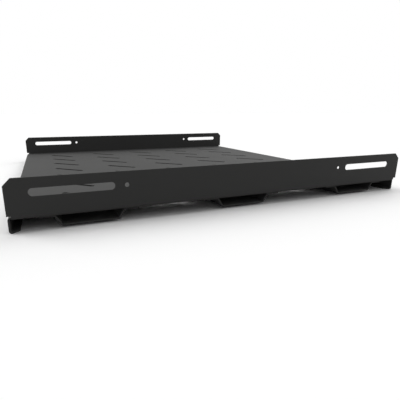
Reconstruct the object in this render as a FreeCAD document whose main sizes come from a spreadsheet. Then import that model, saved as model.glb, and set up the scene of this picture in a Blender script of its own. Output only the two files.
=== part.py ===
import FreeCAD, Part
import itertools
import math
import os
import re
import Sketcher

# A low fixed shelf for a 19 inch rack, held at all four posts.
# The tray is one folded sheet: a slotted deck, an upright flange on each side
# that screws to the posts, and a J-shaped lip along the front and the rear edge.
# Three top-hat channels lie across the deck's underside and stiffen it.
#
# Frame: X across the rack, Y from front to rear, Z up, millimetres. The origin
# is under the middle of the shelf, on the plane that the two lips rest on.

# The driving sizes, as the cells of the spreadsheet: alias, number, meaning.
SIZES = (
    ("shelf_width", 465.0, "across the flanges' outer faces"),
    ("shelf_height", 46.0, "lips' underside to flange tops"),
    ("sheet", 1.5, "thickness of the tray's sheet"),
    ("inner_bend", 1.0, "inside radius of every fold"),
    ("deck_height", 13.6, "top of the deck above the lips' underside"),
    ("flange_length", 440.0, "front to rear"),
    ("flange_land", 0.9, "straight wall between the fold and the end tabs"),
    ("flange_corner", 6.0, "bevel on the flange's top corners"),
    ("slot_length", 69.5, "mounting slot, over its round ends"),
    ("slot_width", 6.7, "mounting slot"),
    ("slot_margin", 17.6, "from the flange's end to the slot's end"),
    ("slot_height", 20.1, "slot's centre line above the deck"),
    ("pilot_diameter", 4.0, "round hole beside each slot"),
    ("pilot_offset", 10.4, "round hole's centre from the slot's inner end"),
    ("lip_setback", 0.1, "lip's face behind the flange's end"),
    ("lip_inset", 3.0, "lip's end inside the flange's outer face"),
    ("lip_return", 8.0, "depth of the lip's foot"),
    ("fold_relief", 0.7, "gap between the side fold's end and the lip's fold"),
    ("vent_columns", 5, "columns of deck slots, front to rear"),
    ("vent_rows", 7, "rows of deck slots, side to side"),
    ("column_margin", 64.0, "outer column's middle from the flange's end"),
    ("row_margin", 61.5, "outer row's middle from the flange's face"),
    ("vent_length", 50.0, "deck slot, over its round ends"),
    ("vent_width", 6.0, "deck slot"),
    ("vent_angle", 45.0, "deck slot's turn from X towards Y, in degrees"),
    ("channel_sheet", 1.5, "thickness of the stiffeners' sheet"),
    ("channel_floor", 49.4, "width of a channel's flat bottom"),
    ("channel_mouth", 62.2, "width of a channel at the deck"),
    ("channel_brim", 12.0, "welding brim on each side of the mouth"),
    ("channel_inset", 3.5, "channel's end inside the flange's outer face"),
    ("channel_margin", 65.5, "outer channel's middle from the flange's end"),
    ("channel_clearance", 2.0, "channel's bottom above the resting plane"),
)

# Heights and half lengths that several sketches share, as expressions.
DECK_UNDERSIDE = "(deck_height - sheet)"
OUTER_BEND = "(inner_bend + sheet)"
TAB_HEIGHT = "(deck_height + inner_bend + flange_land)"
LIP_FACE = "(flange_length / 2 - lip_setback)"
FOLD_END = f"({LIP_FACE} - {OUTER_BEND} - fold_relief)"
LIP_BACK = f"({LIP_FACE} - lip_return)"

# The field of deck slots: half its extent each way, over the slots' middles.
OUTER_ROW = "(shelf_width / 2 - row_margin)"
OUTER_COLUMN = "(flange_length / 2 - column_margin)"

# Each channel's middle, as a share of the way to the outer channels' middle.
OUTER_CHANNEL = "(flange_length / 2 - channel_margin)"
STIFFENERS = (
    ("front_stiffener_channel", -1),
    ("middle_stiffener_channel", 0),
    ("rear_stiffener_channel", 1),
)

document = FreeCAD.newDocument("rack_shelf")


def make_size_sheet():
    """The spreadsheet that every sketch and feature reads."""
    sheet = document.addObject("Spreadsheet::Sheet", "Sizes")
    for row, (alias, number, meaning) in enumerate(SIZES, start=1):
        sheet.set(f"A{row}", str(number))
        sheet.setAlias(f"A{row}", alias)
        sheet.set(f"B{row}", meaning)
    document.recompute()
    return sheet


size_sheet = make_size_sheet()
ALIASES = {alias for alias, number, meaning in SIZES}


def from_sheet(expression):
    """The expression with each size's name turned into its cell on the sheet."""
    def as_cell(match):
        word = match.group(0)
        return f"Sizes.{word}" if word in ALIASES else word
    return re.sub(r"[a-z_]+", as_cell, expression)


def number(expression):
    """What an expression on the sheet comes to at the present sizes."""
    return float(size_sheet.evalExpression(from_sheet(expression)))


def bind(feature, **expressions):
    """Tie a feature's properties to expressions on the sheet."""
    for name, expression in expressions.items():
        feature.setExpression(name, from_sheet(expression))


def new_body(label):
    """An empty PartDesign body, whose label names the sub-part."""
    body = document.addObject("PartDesign::Body", label)
    body.Label = label
    return body


def origin_feature(body, role):
    """One of the body's own origin planes or axes."""
    return next(item for item in body.Origin.OriginFeatures if item.Role == role)


def new_sketch(body, name, plane):
    """An empty sketch on one of the body's origin planes."""
    sketch = body.newObject("Sketcher::SketchObject", name)
    sketch.AttachmentSupport = [(origin_feature(body, plane), "")]
    sketch.MapMode = "FlatFace"
    return sketch


def constrain(sketch, *terms, size=None):
    """Add a constraint; a size is an expression that then drives it.

    In the terms a curve's start is point 1, its end point 2 and its centre point 3.
    """
    if size is None:
        return sketch.addConstraint(Sketcher.Constraint(*terms))
    index = sketch.addConstraint(Sketcher.Constraint(*terms, number(size)))
    sketch.setExpression(f"Constraints[{index}]", from_sheet(size))
    return index


def place_point(sketch, geometry, end, across, up):
    """Hold a point at its distances from the sketch's origin."""
    origin = (-1, 1)
    constrain(sketch, "DistanceX", *origin, geometry, end, size=across)
    constrain(sketch, "DistanceY", *origin, geometry, end, size=up)


def round_corner(corner, before, after, radius):
    """The arc that rounds a corner, and whether it runs from before to after."""
    towards_before = (before - corner).normalize()
    towards_after = (after - corner).normalize()
    half_angle = towards_before.getAngle(towards_after) / 2
    middle = (towards_before + towards_after).normalize()
    centre = corner + middle * (radius / math.sin(half_angle))
    reach = radius / math.tan(half_angle)
    first = corner + towards_before * reach - centre
    last = corner + towards_after * reach - centre
    turns_left = towards_before.cross(towards_after).z < 0
    start, end = (first, last) if turns_left else (last, first)
    start_angle = math.atan2(start.y, start.x)
    sweep = math.pi - 2 * half_angle
    circle = Part.Circle(centre, FreeCAD.Vector(0, 0, 1), radius)
    arc = Part.ArcOfCircle(circle, start_angle, start_angle + sweep)
    return arc, turns_left


def draw_outline(sketch, corners):
    """A closed outline through corners of (across, up, bend), all expressions.

    A bend other than None rounds its corner with an arc tangent to both sides.
    """
    points = [FreeCAD.Vector(number(across), number(up), 0) for across, up, bend in corners]
    count = len(corners)
    sides = []
    for index, point in enumerate(points):
        line = Part.LineSegment(point, points[(index + 1) % count])
        sides.append(sketch.addGeometry(line))
    for index, (across, up, bend) in enumerate(corners):
        side_before, side_after = sides[index - 1], sides[index]
        if bend is None:
            constrain(sketch, "Coincident", side_before, 2, side_after, 1)
            place_point(sketch, side_after, 1, across, up)
            continue
        arc, turns_left = round_corner(
            points[index], points[index - 1], points[(index + 1) % count], number(bend))
        curve = sketch.addGeometry(arc)
        first, last = (1, 2) if turns_left else (2, 1)
        apex = sketch.addGeometry(Part.Point(points[index]), True)
        place_point(sketch, apex, 1, across, up)
        constrain(sketch, "PointOnObject", apex, 1, side_before)
        constrain(sketch, "PointOnObject", apex, 1, side_after)
        constrain(sketch, "Tangent", side_before, 2, curve, first)
        constrain(sketch, "Tangent", curve, last, side_after, 1)
        constrain(sketch, "Radius", curve, size=bend)


def draw_slot(sketch, start, end, width):
    """A slot with round ends about two centres, each (across, up)."""
    radius = f"{width} / 2"
    first = FreeCAD.Vector(number(start[0]), number(start[1]), 0)
    last = FreeCAD.Vector(number(end[0]), number(end[1]), 0)
    along = (last - first).normalize()
    heading = math.atan2(along.y, along.x)
    sideways = FreeCAD.Vector(along.y, -along.x, 0) * number(radius)
    quarter = math.pi / 2
    normal = FreeCAD.Vector(0, 0, 1)
    first_circle = Part.Circle(first, normal, number(radius))
    last_circle = Part.Circle(last, normal, number(radius))
    first_end = sketch.addGeometry(
        Part.ArcOfCircle(first_circle, heading + quarter, heading + 3 * quarter))
    last_end = sketch.addGeometry(
        Part.ArcOfCircle(last_circle, heading - quarter, heading + quarter))
    right = sketch.addGeometry(Part.LineSegment(first + sideways, last + sideways))
    left = sketch.addGeometry(Part.LineSegment(last - sideways, first - sideways))
    place_point(sketch, first_end, 3, *start)
    place_point(sketch, last_end, 3, *end)
    constrain(sketch, "Tangent", first_end, 2, right, 1)
    constrain(sketch, "Tangent", right, 2, last_end, 1)
    constrain(sketch, "Tangent", last_end, 2, left, 1)
    constrain(sketch, "Tangent", left, 2, first_end, 1)
    constrain(sketch, "Radius", first_end, size=radius)
    constrain(sketch, "Equal", first_end, last_end)


def draw_hole(sketch, across, up, diameter):
    """A round hole."""
    centre = FreeCAD.Vector(number(across), number(up), 0)
    radius = f"{diameter} / 2"
    circle = Part.Circle(centre, FreeCAD.Vector(0, 0, 1), number(radius))
    hole = sketch.addGeometry(circle)
    place_point(sketch, hole, 3, across, up)
    constrain(sketch, "Radius", hole, size=radius)


def add_pad(body, name, sketch, length, symmetric=False):
    """Extrude a sketch, one way or to both sides of its plane."""
    pad = body.newObject("PartDesign::Pad", name)
    pad.Profile = sketch
    pad.SideType = "Symmetric" if symmetric else "One side"
    bind(pad, Length=length)
    return pad


def add_mirror(body, name, original, plane):
    """Repeat a feature on the other side of one of the body's planes."""
    mirror = body.newObject("PartDesign::Mirrored", name)
    mirror.Originals = [original]
    mirror.MirrorPlane = (origin_feature(body, plane), [""])
    body.Tip = mirror


def add_deck_and_side_folds(body):
    """The deck with its two side folds, up to the flanges' end tabs."""
    outside = "shelf_width / 2"
    inside = "(shelf_width / 2 - sheet)"
    sketch = new_sketch(body, "deck_section", "XZ_Plane")
    draw_outline(sketch, (
        (f"-{outside}", DECK_UNDERSIDE, OUTER_BEND),
        (outside, DECK_UNDERSIDE, OUTER_BEND),
        (outside, TAB_HEIGHT, None),
        (inside, TAB_HEIGHT, None),
        (inside, "deck_height", "inner_bend"),
        (f"-{inside}", "deck_height", "inner_bend"),
        (f"-{inside}", TAB_HEIGHT, None),
        (f"-{outside}", TAB_HEIGHT, None),
    ))
    add_pad(body, "deck_and_side_folds", sketch, f"2 * {FOLD_END}", symmetric=True)


def add_side_flanges(body):
    """Both flanges, cut to outline with their mounting slots and pilot holes."""
    half_length = "flange_length / 2"
    corner_start = "(flange_length / 2 - flange_corner)"
    corner_height = "(shelf_height - flange_corner)"
    sketch = new_sketch(body, "flange_outline", "YZ_Plane")
    bind(sketch, **{"AttachmentOffset.Base.z": "shelf_width / 2 - sheet"})
    draw_outline(sketch, (
        (f"-{half_length}", TAB_HEIGHT, None),
        (half_length, TAB_HEIGHT, None),
        (half_length, corner_height, None),
        (corner_start, "shelf_height", None),
        (f"-{corner_start}", "shelf_height", None),
        (f"-{half_length}", corner_height, None),
    ))
    height = "deck_height + slot_height"
    outer_centre = "(flange_length / 2 - slot_margin - slot_width / 2)"
    inner_end = "(flange_length / 2 - slot_margin - slot_length)"
    inner_centre = f"({inner_end} + slot_width / 2)"
    pilot = f"({inner_end} - pilot_offset)"
    draw_slot(sketch, (inner_centre, height), (outer_centre, height), "slot_width")
    draw_slot(sketch, (f"-{outer_centre}", height), (f"-{inner_centre}", height), "slot_width")
    draw_hole(sketch, pilot, height, "pilot_diameter")
    draw_hole(sketch, f"-{pilot}", height, "pilot_diameter")
    flange = add_pad(body, "side_flange", sketch, "sheet")
    add_mirror(body, "opposite_flange", flange, "YZ_Plane")


def add_lips(body):
    """The J-shaped lips: over the edge, down to the resting plane and back under."""
    foot_top = "sheet"
    inside = f"({LIP_FACE} - sheet)"
    sketch = new_sketch(body, "lip_section", "YZ_Plane")
    draw_outline(sketch, (
        (FOLD_END, DECK_UNDERSIDE, None),
        (inside, DECK_UNDERSIDE, "inner_bend"),
        (inside, foot_top, "inner_bend"),
        (LIP_BACK, foot_top, None),
        (LIP_BACK, "0", None),
        (LIP_FACE, "0", OUTER_BEND),
        (LIP_FACE, "deck_height", OUTER_BEND),
        (FOLD_END, "deck_height", None),
    ))
    lip = add_pad(body, "rear_lip", sketch, "shelf_width - 2 * lip_inset", symmetric=True)
    add_mirror(body, "front_lip", lip, "XZ_Plane")


def mitre_lips(body):
    """Both ends of each lip's foot, cut off at 45 degrees behind the fold."""
    end = "(shelf_width / 2 - lip_inset)"
    fold_line = f"({LIP_FACE} - {OUTER_BEND})"
    run = f"(lip_return - {OUTER_BEND})"
    sketch = new_sketch(body, "mitre_outline", "XY_Plane")
    bind(sketch, **{"AttachmentOffset.Base.z": "sheet"})
    for side, edge in itertools.product(("", "-"), repeat=2):
        draw_outline(sketch, (
            (f"{side}{end}", f"{edge}{fold_line}", None),
            (f"{side}{end}", f"{edge}{LIP_BACK}", None),
            (f"{side}({end} - {run})", f"{edge}{LIP_BACK}", None),
        ))
    mitre = body.newObject("PartDesign::Pocket", "lip_mitres")
    mitre.Profile = sketch
    bind(mitre, Length="sheet")


def cut_vents(body):
    """The deck's slanted slots: one at a corner of the field, then the pattern."""
    half = "(vent_length - vent_width) / 2"
    across = f"{half} * cos(vent_angle)"
    along = f"{half} * sin(vent_angle)"
    sketch = new_sketch(body, "vent_outline", "XY_Plane")
    bind(sketch, **{"AttachmentOffset.Base.z": "deck_height"})
    start = (f"-{OUTER_ROW} - {across}", f"-{OUTER_COLUMN} - {along}")
    end = (f"-{OUTER_ROW} + {across}", f"-{OUTER_COLUMN} + {along}")
    draw_slot(sketch, start, end, "vent_width")
    vent = body.newObject("PartDesign::Pocket", "vent")
    vent.Profile = sketch
    bind(vent, Length="sheet")
    field = body.newObject("PartDesign::LinearPattern", "vent_field")
    field.Originals = [vent]
    field.Direction = (origin_feature(body, "X_Axis"), [""])
    field.Direction2 = (origin_feature(body, "Y_Axis"), [""])
    bind(
        field,
        Length=f"2 * {OUTER_ROW}",
        Occurrences="vent_rows",
        Length2=f"2 * {OUTER_COLUMN}",
        Occurrences2="vent_columns",
    )
    body.Tip = field


def make_tray():
    """The folded sheet."""
    body = new_body("shelf_tray")
    add_deck_and_side_folds(body)
    add_side_flanges(body)
    add_lips(body)
    mitre_lips(body)
    cut_vents(body)
    return body


def make_stiffener(label, share):
    """A top-hat channel under one column of vents, its brims against the deck."""
    brim_top = DECK_UNDERSIDE
    brim_underside = f"({DECK_UNDERSIDE} - channel_sheet)"
    outer_bend = "(inner_bend + channel_sheet)"
    floor_top = "(channel_clearance + channel_sheet)"
    depth = f"({DECK_UNDERSIDE} - channel_clearance)"
    lean = f"((channel_mouth - channel_floor) / 2 / {depth})"
    half_floor = "channel_floor / 2"
    half_mouth = "channel_mouth / 2"
    wall_across = f"channel_sheet * sqrt(1 + {lean}^2)"
    outer_foot = f"({half_floor})"
    outer_brim = f"({half_mouth} - channel_sheet * {lean})"
    inner_foot = f"({half_floor} + channel_sheet * {lean} - {wall_across})"
    inner_brim = f"({half_mouth} - {wall_across})"
    brim_end = f"({half_mouth} + channel_brim)"
    right_half = (
        (outer_foot, "channel_clearance", outer_bend),
        (outer_brim, brim_underside, "inner_bend"),
        (brim_end, brim_underside, None),
        (brim_end, brim_top, None),
        (inner_brim, brim_top, outer_bend),
        (inner_foot, floor_top, "inner_bend"),
    )
    left_half = tuple((f"-{across}", up, bend) for across, up, bend in reversed(right_half))
    body = new_body(label)
    sketch = new_sketch(body, f"{label}_section", "YZ_Plane")
    draw_outline(sketch, right_half + left_half)
    add_pad(body, f"{label}_pad", sketch, "shelf_width - 2 * channel_inset", symmetric=True)
    bind(body, **{"Placement.Base.y": f"{share} * {OUTER_CHANNEL}"})
    return body


def check_document(bodies):
    """Stop unless every object computed and every sub-part is one valid solid."""
    for item in document.Objects:
        if "Invalid" in item.State or "Error" in item.State:
            raise RuntimeError(f"{item.Label} did not compute: {item.State}")
    for body in bodies:
        shape = body.Shape
        if shape.isNull() or not shape.isValid() or len(shape.Solids) != 1:
            raise RuntimeError(f"{body.Label} is not one valid solid")


def write_parts(bodies):
    """One STEP file for each sub-part, named by its label."""
    os.makedirs("parts", exist_ok=True)
    for body in bodies:
        body.Shape.exportStep(os.path.join("parts", f"{body.Label}.step"))


bodies = [make_tray()]
for stiffener_label, stiffener_share in STIFFENERS:
    bodies.append(make_stiffener(stiffener_label, stiffener_share))
document.recompute()
check_document(bodies)
write_parts(bodies)
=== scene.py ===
import math

import bmesh
import bpy
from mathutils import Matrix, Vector


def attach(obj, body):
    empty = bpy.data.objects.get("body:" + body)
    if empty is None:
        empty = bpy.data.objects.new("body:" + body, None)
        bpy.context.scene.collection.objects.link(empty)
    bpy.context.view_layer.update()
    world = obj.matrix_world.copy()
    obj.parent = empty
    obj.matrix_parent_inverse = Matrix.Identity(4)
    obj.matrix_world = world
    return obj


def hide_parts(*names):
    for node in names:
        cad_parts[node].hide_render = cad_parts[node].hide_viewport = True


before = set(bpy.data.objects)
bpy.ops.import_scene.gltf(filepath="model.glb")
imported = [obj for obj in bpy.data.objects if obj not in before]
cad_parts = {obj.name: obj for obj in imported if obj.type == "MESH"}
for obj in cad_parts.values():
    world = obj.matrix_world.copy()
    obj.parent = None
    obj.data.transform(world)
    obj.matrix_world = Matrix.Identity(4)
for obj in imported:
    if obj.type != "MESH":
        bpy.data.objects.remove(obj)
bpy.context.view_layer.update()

MM = 0.001

# The camera stands low on the shelf's right, by the front corner, and looks
# across the deck. Places are in metres and the sensor and lens in millimetres.
CAMERA_PLACE = Vector((0.518, -0.1868, 0.09498))
CAMERA_HEADING = math.radians(22.17)
CAMERA_DIP = math.radians(15.38)
CAMERA_LENS = 30.21
CAMERA_SENSOR = 36
CAMERA_SHIFT = (0.0445, 0.0115)
CAMERA_NEAREST = 0.01

# The floor's side in metres, then how white the floor and the sky look, and how
# white they are where they only throw light.
STUDIO_SIZE = 60.0
FLOOR_WHITE = 1.0
FLOOR_BOUNCE = 0.45
BACKDROP_WHITE = 1.0
SKY_GLOW = 0.3

# Soft lights about the shelf: heading from +X towards +Y and height, both in
# degrees, then strength.
STUDIO_LIGHTS = {
    "overhead_light": (0, 90, 0.82),
    "front_left_light": (240, 32, 1.35),
    "rear_left_light": (120, 32, 0.98),
    "rear_right_light": (60, 32, 0.35),
}
LIGHT_SPREAD = math.radians(40)

# A colour Mix node's own sockets, which share their names with other kinds'.
MIX_FACTOR, MIX_FIRST, MIX_SECOND = 0, 6, 7
MIX_RESULT = 2

# Satin black powder coat. Its roughness drifts upwards by up to this much.
COAT_COLOUR = (0.0345, 0.0345, 0.0338, 1)
COAT_ROUGHNESS = 0.77
COAT_DRIFT = 0.06
COAT_SPECULAR = 0.32

# The coat's grain, in noise cells to the metre: orange peel, and drift of gloss.
PEEL_SCALE = 900.0
PEEL_DETAIL = 2.0
PEEL_STRENGTH = 0.15
PEEL_DEPTH = 0.03 * MM
DRIFT_SCALE = 12.0
DRIFT_DETAIL = 3.0

# Corners nearer than this are one, and faces turned less than this are one.
MERGE_DISTANCE = 0.001 * MM
FLAT_ANGLE = math.radians(0.2)

# Coated sheet has no sharp edges: each edge that turns by more than the angle is
# rounded this much, or less where a short edge beside it leaves no room.
EDGE_ROUND = 0.25 * MM
EDGE_SEGMENTS = 2
EDGE_ANGLE = math.radians(40)
FLAT_FACE_WEIGHT = 100


class Value:
    """A socket in a node tree, so that shader maths reads as Python."""

    def __init__(self, tree, socket):
        self.tree = tree
        self.socket = socket

    def __add__(self, other):
        return maths(self.tree, "ADD", self, other)

    def __radd__(self, other):
        return maths(self.tree, "ADD", other, self)

    def __rmul__(self, other):
        return maths(self.tree, "MULTIPLY", other, self)


def maths(tree, operation, *terms, clamp=False):
    """A Math node on the terms, its result held between 0 and 1 if clamped."""
    node = tree.nodes.new("ShaderNodeMath")
    node.operation = operation
    node.use_clamp = clamp
    for place, term in zip(node.inputs, terms):
        connect(tree, place, term)
    return Value(tree, node.outputs[0])


def connect(tree, place, term):
    """Link a value to a socket, or set the socket to a plain number or colour."""
    if isinstance(term, Value):
        tree.links.new(term.socket, place)
    else:
        place.default_value = term


def shown(tree):
    """1 where a thing is seen, mirrored or looked at through another, else 0."""
    path = tree.nodes.new("ShaderNodeLightPath")
    seen = Value(tree, path.outputs["Is Camera Ray"])
    mirrored = Value(tree, path.outputs["Is Glossy Ray"])
    through = Value(tree, path.outputs["Is Transmission Ray"])
    return maths(tree, "ADD", seen + mirrored, through, clamp=True)


def grey(level):
    """An opaque grey colour."""
    return (level, level, level, 1)


class Finish:
    """A procedural material, built node by node."""

    def __init__(self, name):
        self.material = bpy.data.materials.new(name)
        self.material.use_nodes = True
        self.tree = self.material.node_tree
        self.tree.nodes.clear()

    def node(self, kind, settings=None, sockets=None, output=0):
        """A node of a kind, its settings made first, then its sockets filled."""
        node = self.tree.nodes.new(kind)
        for name, setting in (settings or {}).items():
            setattr(node, name, setting)
        for name, term in (sockets or {}).items():
            connect(self.tree, node.inputs[name], term)
        return Value(self.tree, node.outputs[output])

    def surface(self, shader):
        """The material, with a shader as its surface."""
        end = self.tree.nodes.new("ShaderNodeOutputMaterial")
        connect(self.tree, end.inputs["Surface"], shader)
        return self.material


def place_camera():
    """The camera, level, turned and dipped towards the deck."""
    camera = bpy.data.objects.new("camera", bpy.data.cameras.new("camera"))
    bpy.context.scene.collection.objects.link(camera)
    level = Vector((-math.cos(CAMERA_HEADING), math.sin(CAMERA_HEADING), 0))
    ahead = level * math.cos(CAMERA_DIP) - Vector((0, 0, math.sin(CAMERA_DIP)))
    camera.location = CAMERA_PLACE
    camera.rotation_euler = ahead.to_track_quat("-Z", "Y").to_euler()
    camera.data.sensor_width = CAMERA_SENSOR
    camera.data.lens = CAMERA_LENS
    camera.data.shift_x, camera.data.shift_y = CAMERA_SHIFT
    camera.data.clip_start = CAMERA_NEAREST
    bpy.context.scene.camera = camera


def build_studio():
    """A white floor, the sky over it and the lights about it."""
    lay_floor()
    build_sky()
    for name, (heading, height, strength) in STUDIO_LIGHTS.items():
        hang_light(name, math.radians(heading), math.radians(height), strength)


def lay_floor():
    """A square floor at the height that the shelf's lips rest on."""
    half = STUDIO_SIZE / 2
    corners = [(-half, -half, 0), (half, -half, 0), (half, half, 0), (-half, half, 0)]
    mesh = bpy.data.meshes.new("studio_floor")
    mesh.from_pydata(corners, [], [(0, 1, 2, 3)])
    mesh.materials.append(floor_finish())
    floor = bpy.data.objects.new("studio_floor", mesh)
    bpy.context.scene.collection.objects.link(floor)


def floor_finish():
    """Matt white to the eye and in reflections, grey where it only throws light."""
    finish = Finish("studio_floor")
    colour = finish.node(
        "ShaderNodeMix",
        {"data_type": "RGBA"},
        {
            MIX_FACTOR: shown(finish.tree),
            MIX_FIRST: grey(FLOOR_BOUNCE),
            MIX_SECOND: grey(FLOOR_WHITE),
        },
        output=MIX_RESULT,
    )
    return finish.surface(finish.node("ShaderNodeBsdfDiffuse", sockets={"Color": colour}))


def build_sky():
    """An even glow all round, and a white backdrop where it is seen or mirrored."""
    world = bpy.data.worlds.new("studio_sky")
    world.use_nodes = True
    bpy.context.scene.world = world
    tree = world.node_tree
    tree.nodes.clear()
    sky = tree.nodes.new("ShaderNodeBackground")
    sky.inputs["Color"].default_value = grey(1)
    strength = SKY_GLOW + (BACKDROP_WHITE - SKY_GLOW) * shown(tree)
    connect(tree, sky.inputs["Strength"], strength)
    end = tree.nodes.new("ShaderNodeOutputWorld")
    tree.links.new(sky.outputs[0], end.inputs["Surface"])


def hang_light(name, heading, height, strength):
    """A wide, distant light that shines on the shelf from a heading and a height."""
    lamp = bpy.data.lights.new(name, "SUN")
    lamp.energy = strength
    lamp.angle = LIGHT_SPREAD
    light = bpy.data.objects.new(name, lamp)
    along = math.cos(height)
    towards = Vector((along * math.cos(heading), along * math.sin(heading), math.sin(height)))
    light.rotation_euler = towards.to_track_quat("Z", "Y").to_euler()
    bpy.context.scene.collection.objects.link(light)


def powder_coat():
    """Satin black powder coat: fine orange peel over a faint drift of gloss."""
    finish = Finish("powder_coat")
    place = finish.node("ShaderNodeTexCoord", output="Object")
    peel = finish.node("ShaderNodeTexNoise", sockets={
        "Vector": place, "Scale": PEEL_SCALE, "Detail": PEEL_DETAIL})
    drift = finish.node("ShaderNodeTexNoise", sockets={
        "Vector": place, "Scale": DRIFT_SCALE, "Detail": DRIFT_DETAIL})
    normal = finish.node("ShaderNodeBump", sockets={
        "Strength": PEEL_STRENGTH, "Distance": PEEL_DEPTH, "Height": peel})
    shader = finish.node("ShaderNodeBsdfPrincipled", sockets={
        "Base Color": COAT_COLOUR,
        "Roughness": COAT_ROUGHNESS + COAT_DRIFT * drift,
        "Specular IOR Level": COAT_SPECULAR,
        "Normal": normal,
    })
    return finish.surface(shader)


def soften(node_name, coat):
    """A coated copy of a CAD node, in its place, with its sharp edges rounded."""
    mesh = whole_faces(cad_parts[node_name].data, f"coated_{node_name}")
    mesh.materials.clear()
    mesh.materials.append(coat)
    mesh.shade_smooth()
    piece = bpy.data.objects.new(f"coated_{node_name}", mesh)
    bpy.context.scene.collection.objects.link(piece)
    bevel = piece.modifiers.new("rounded_edges", "BEVEL")
    bevel.width = EDGE_ROUND
    bevel.segments = EDGE_SEGMENTS
    bevel.limit_method = "ANGLE"
    bevel.angle_limit = EDGE_ANGLE
    bevel.use_clamp_overlap = True
    bevel.loop_slide = False
    even = piece.modifiers.new("flat_faces", "WEIGHTED_NORMAL")
    even.mode = "FACE_AREA"
    even.weight = FLAT_FACE_WEIGHT
    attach(piece, "root")
    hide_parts(node_name)


def whole_faces(source, name):
    """A copy of a mesh with its corners merged and each flat face in one piece."""
    mesh = source.copy()
    mesh.name = name
    custom = mesh.attributes.get("custom_normal")
    if custom is not None:
        mesh.attributes.remove(custom)
    shape = bmesh.new()
    shape.from_mesh(mesh)
    bmesh.ops.remove_doubles(shape, verts=shape.verts, dist=MERGE_DISTANCE)
    bmesh.ops.dissolve_limit(
        shape, angle_limit=FLAT_ANGLE, verts=shape.verts, edges=shape.edges)
    bmesh.ops.recalc_face_normals(shape, faces=shape.faces)
    shape.to_mesh(mesh)
    shape.free()
    return mesh


place_camera()
build_studio()
coat = powder_coat()
for node_name in sorted(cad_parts):
    soften(node_name, coat)

bpy.context.scene.view_settings.view_transform = "Standard"
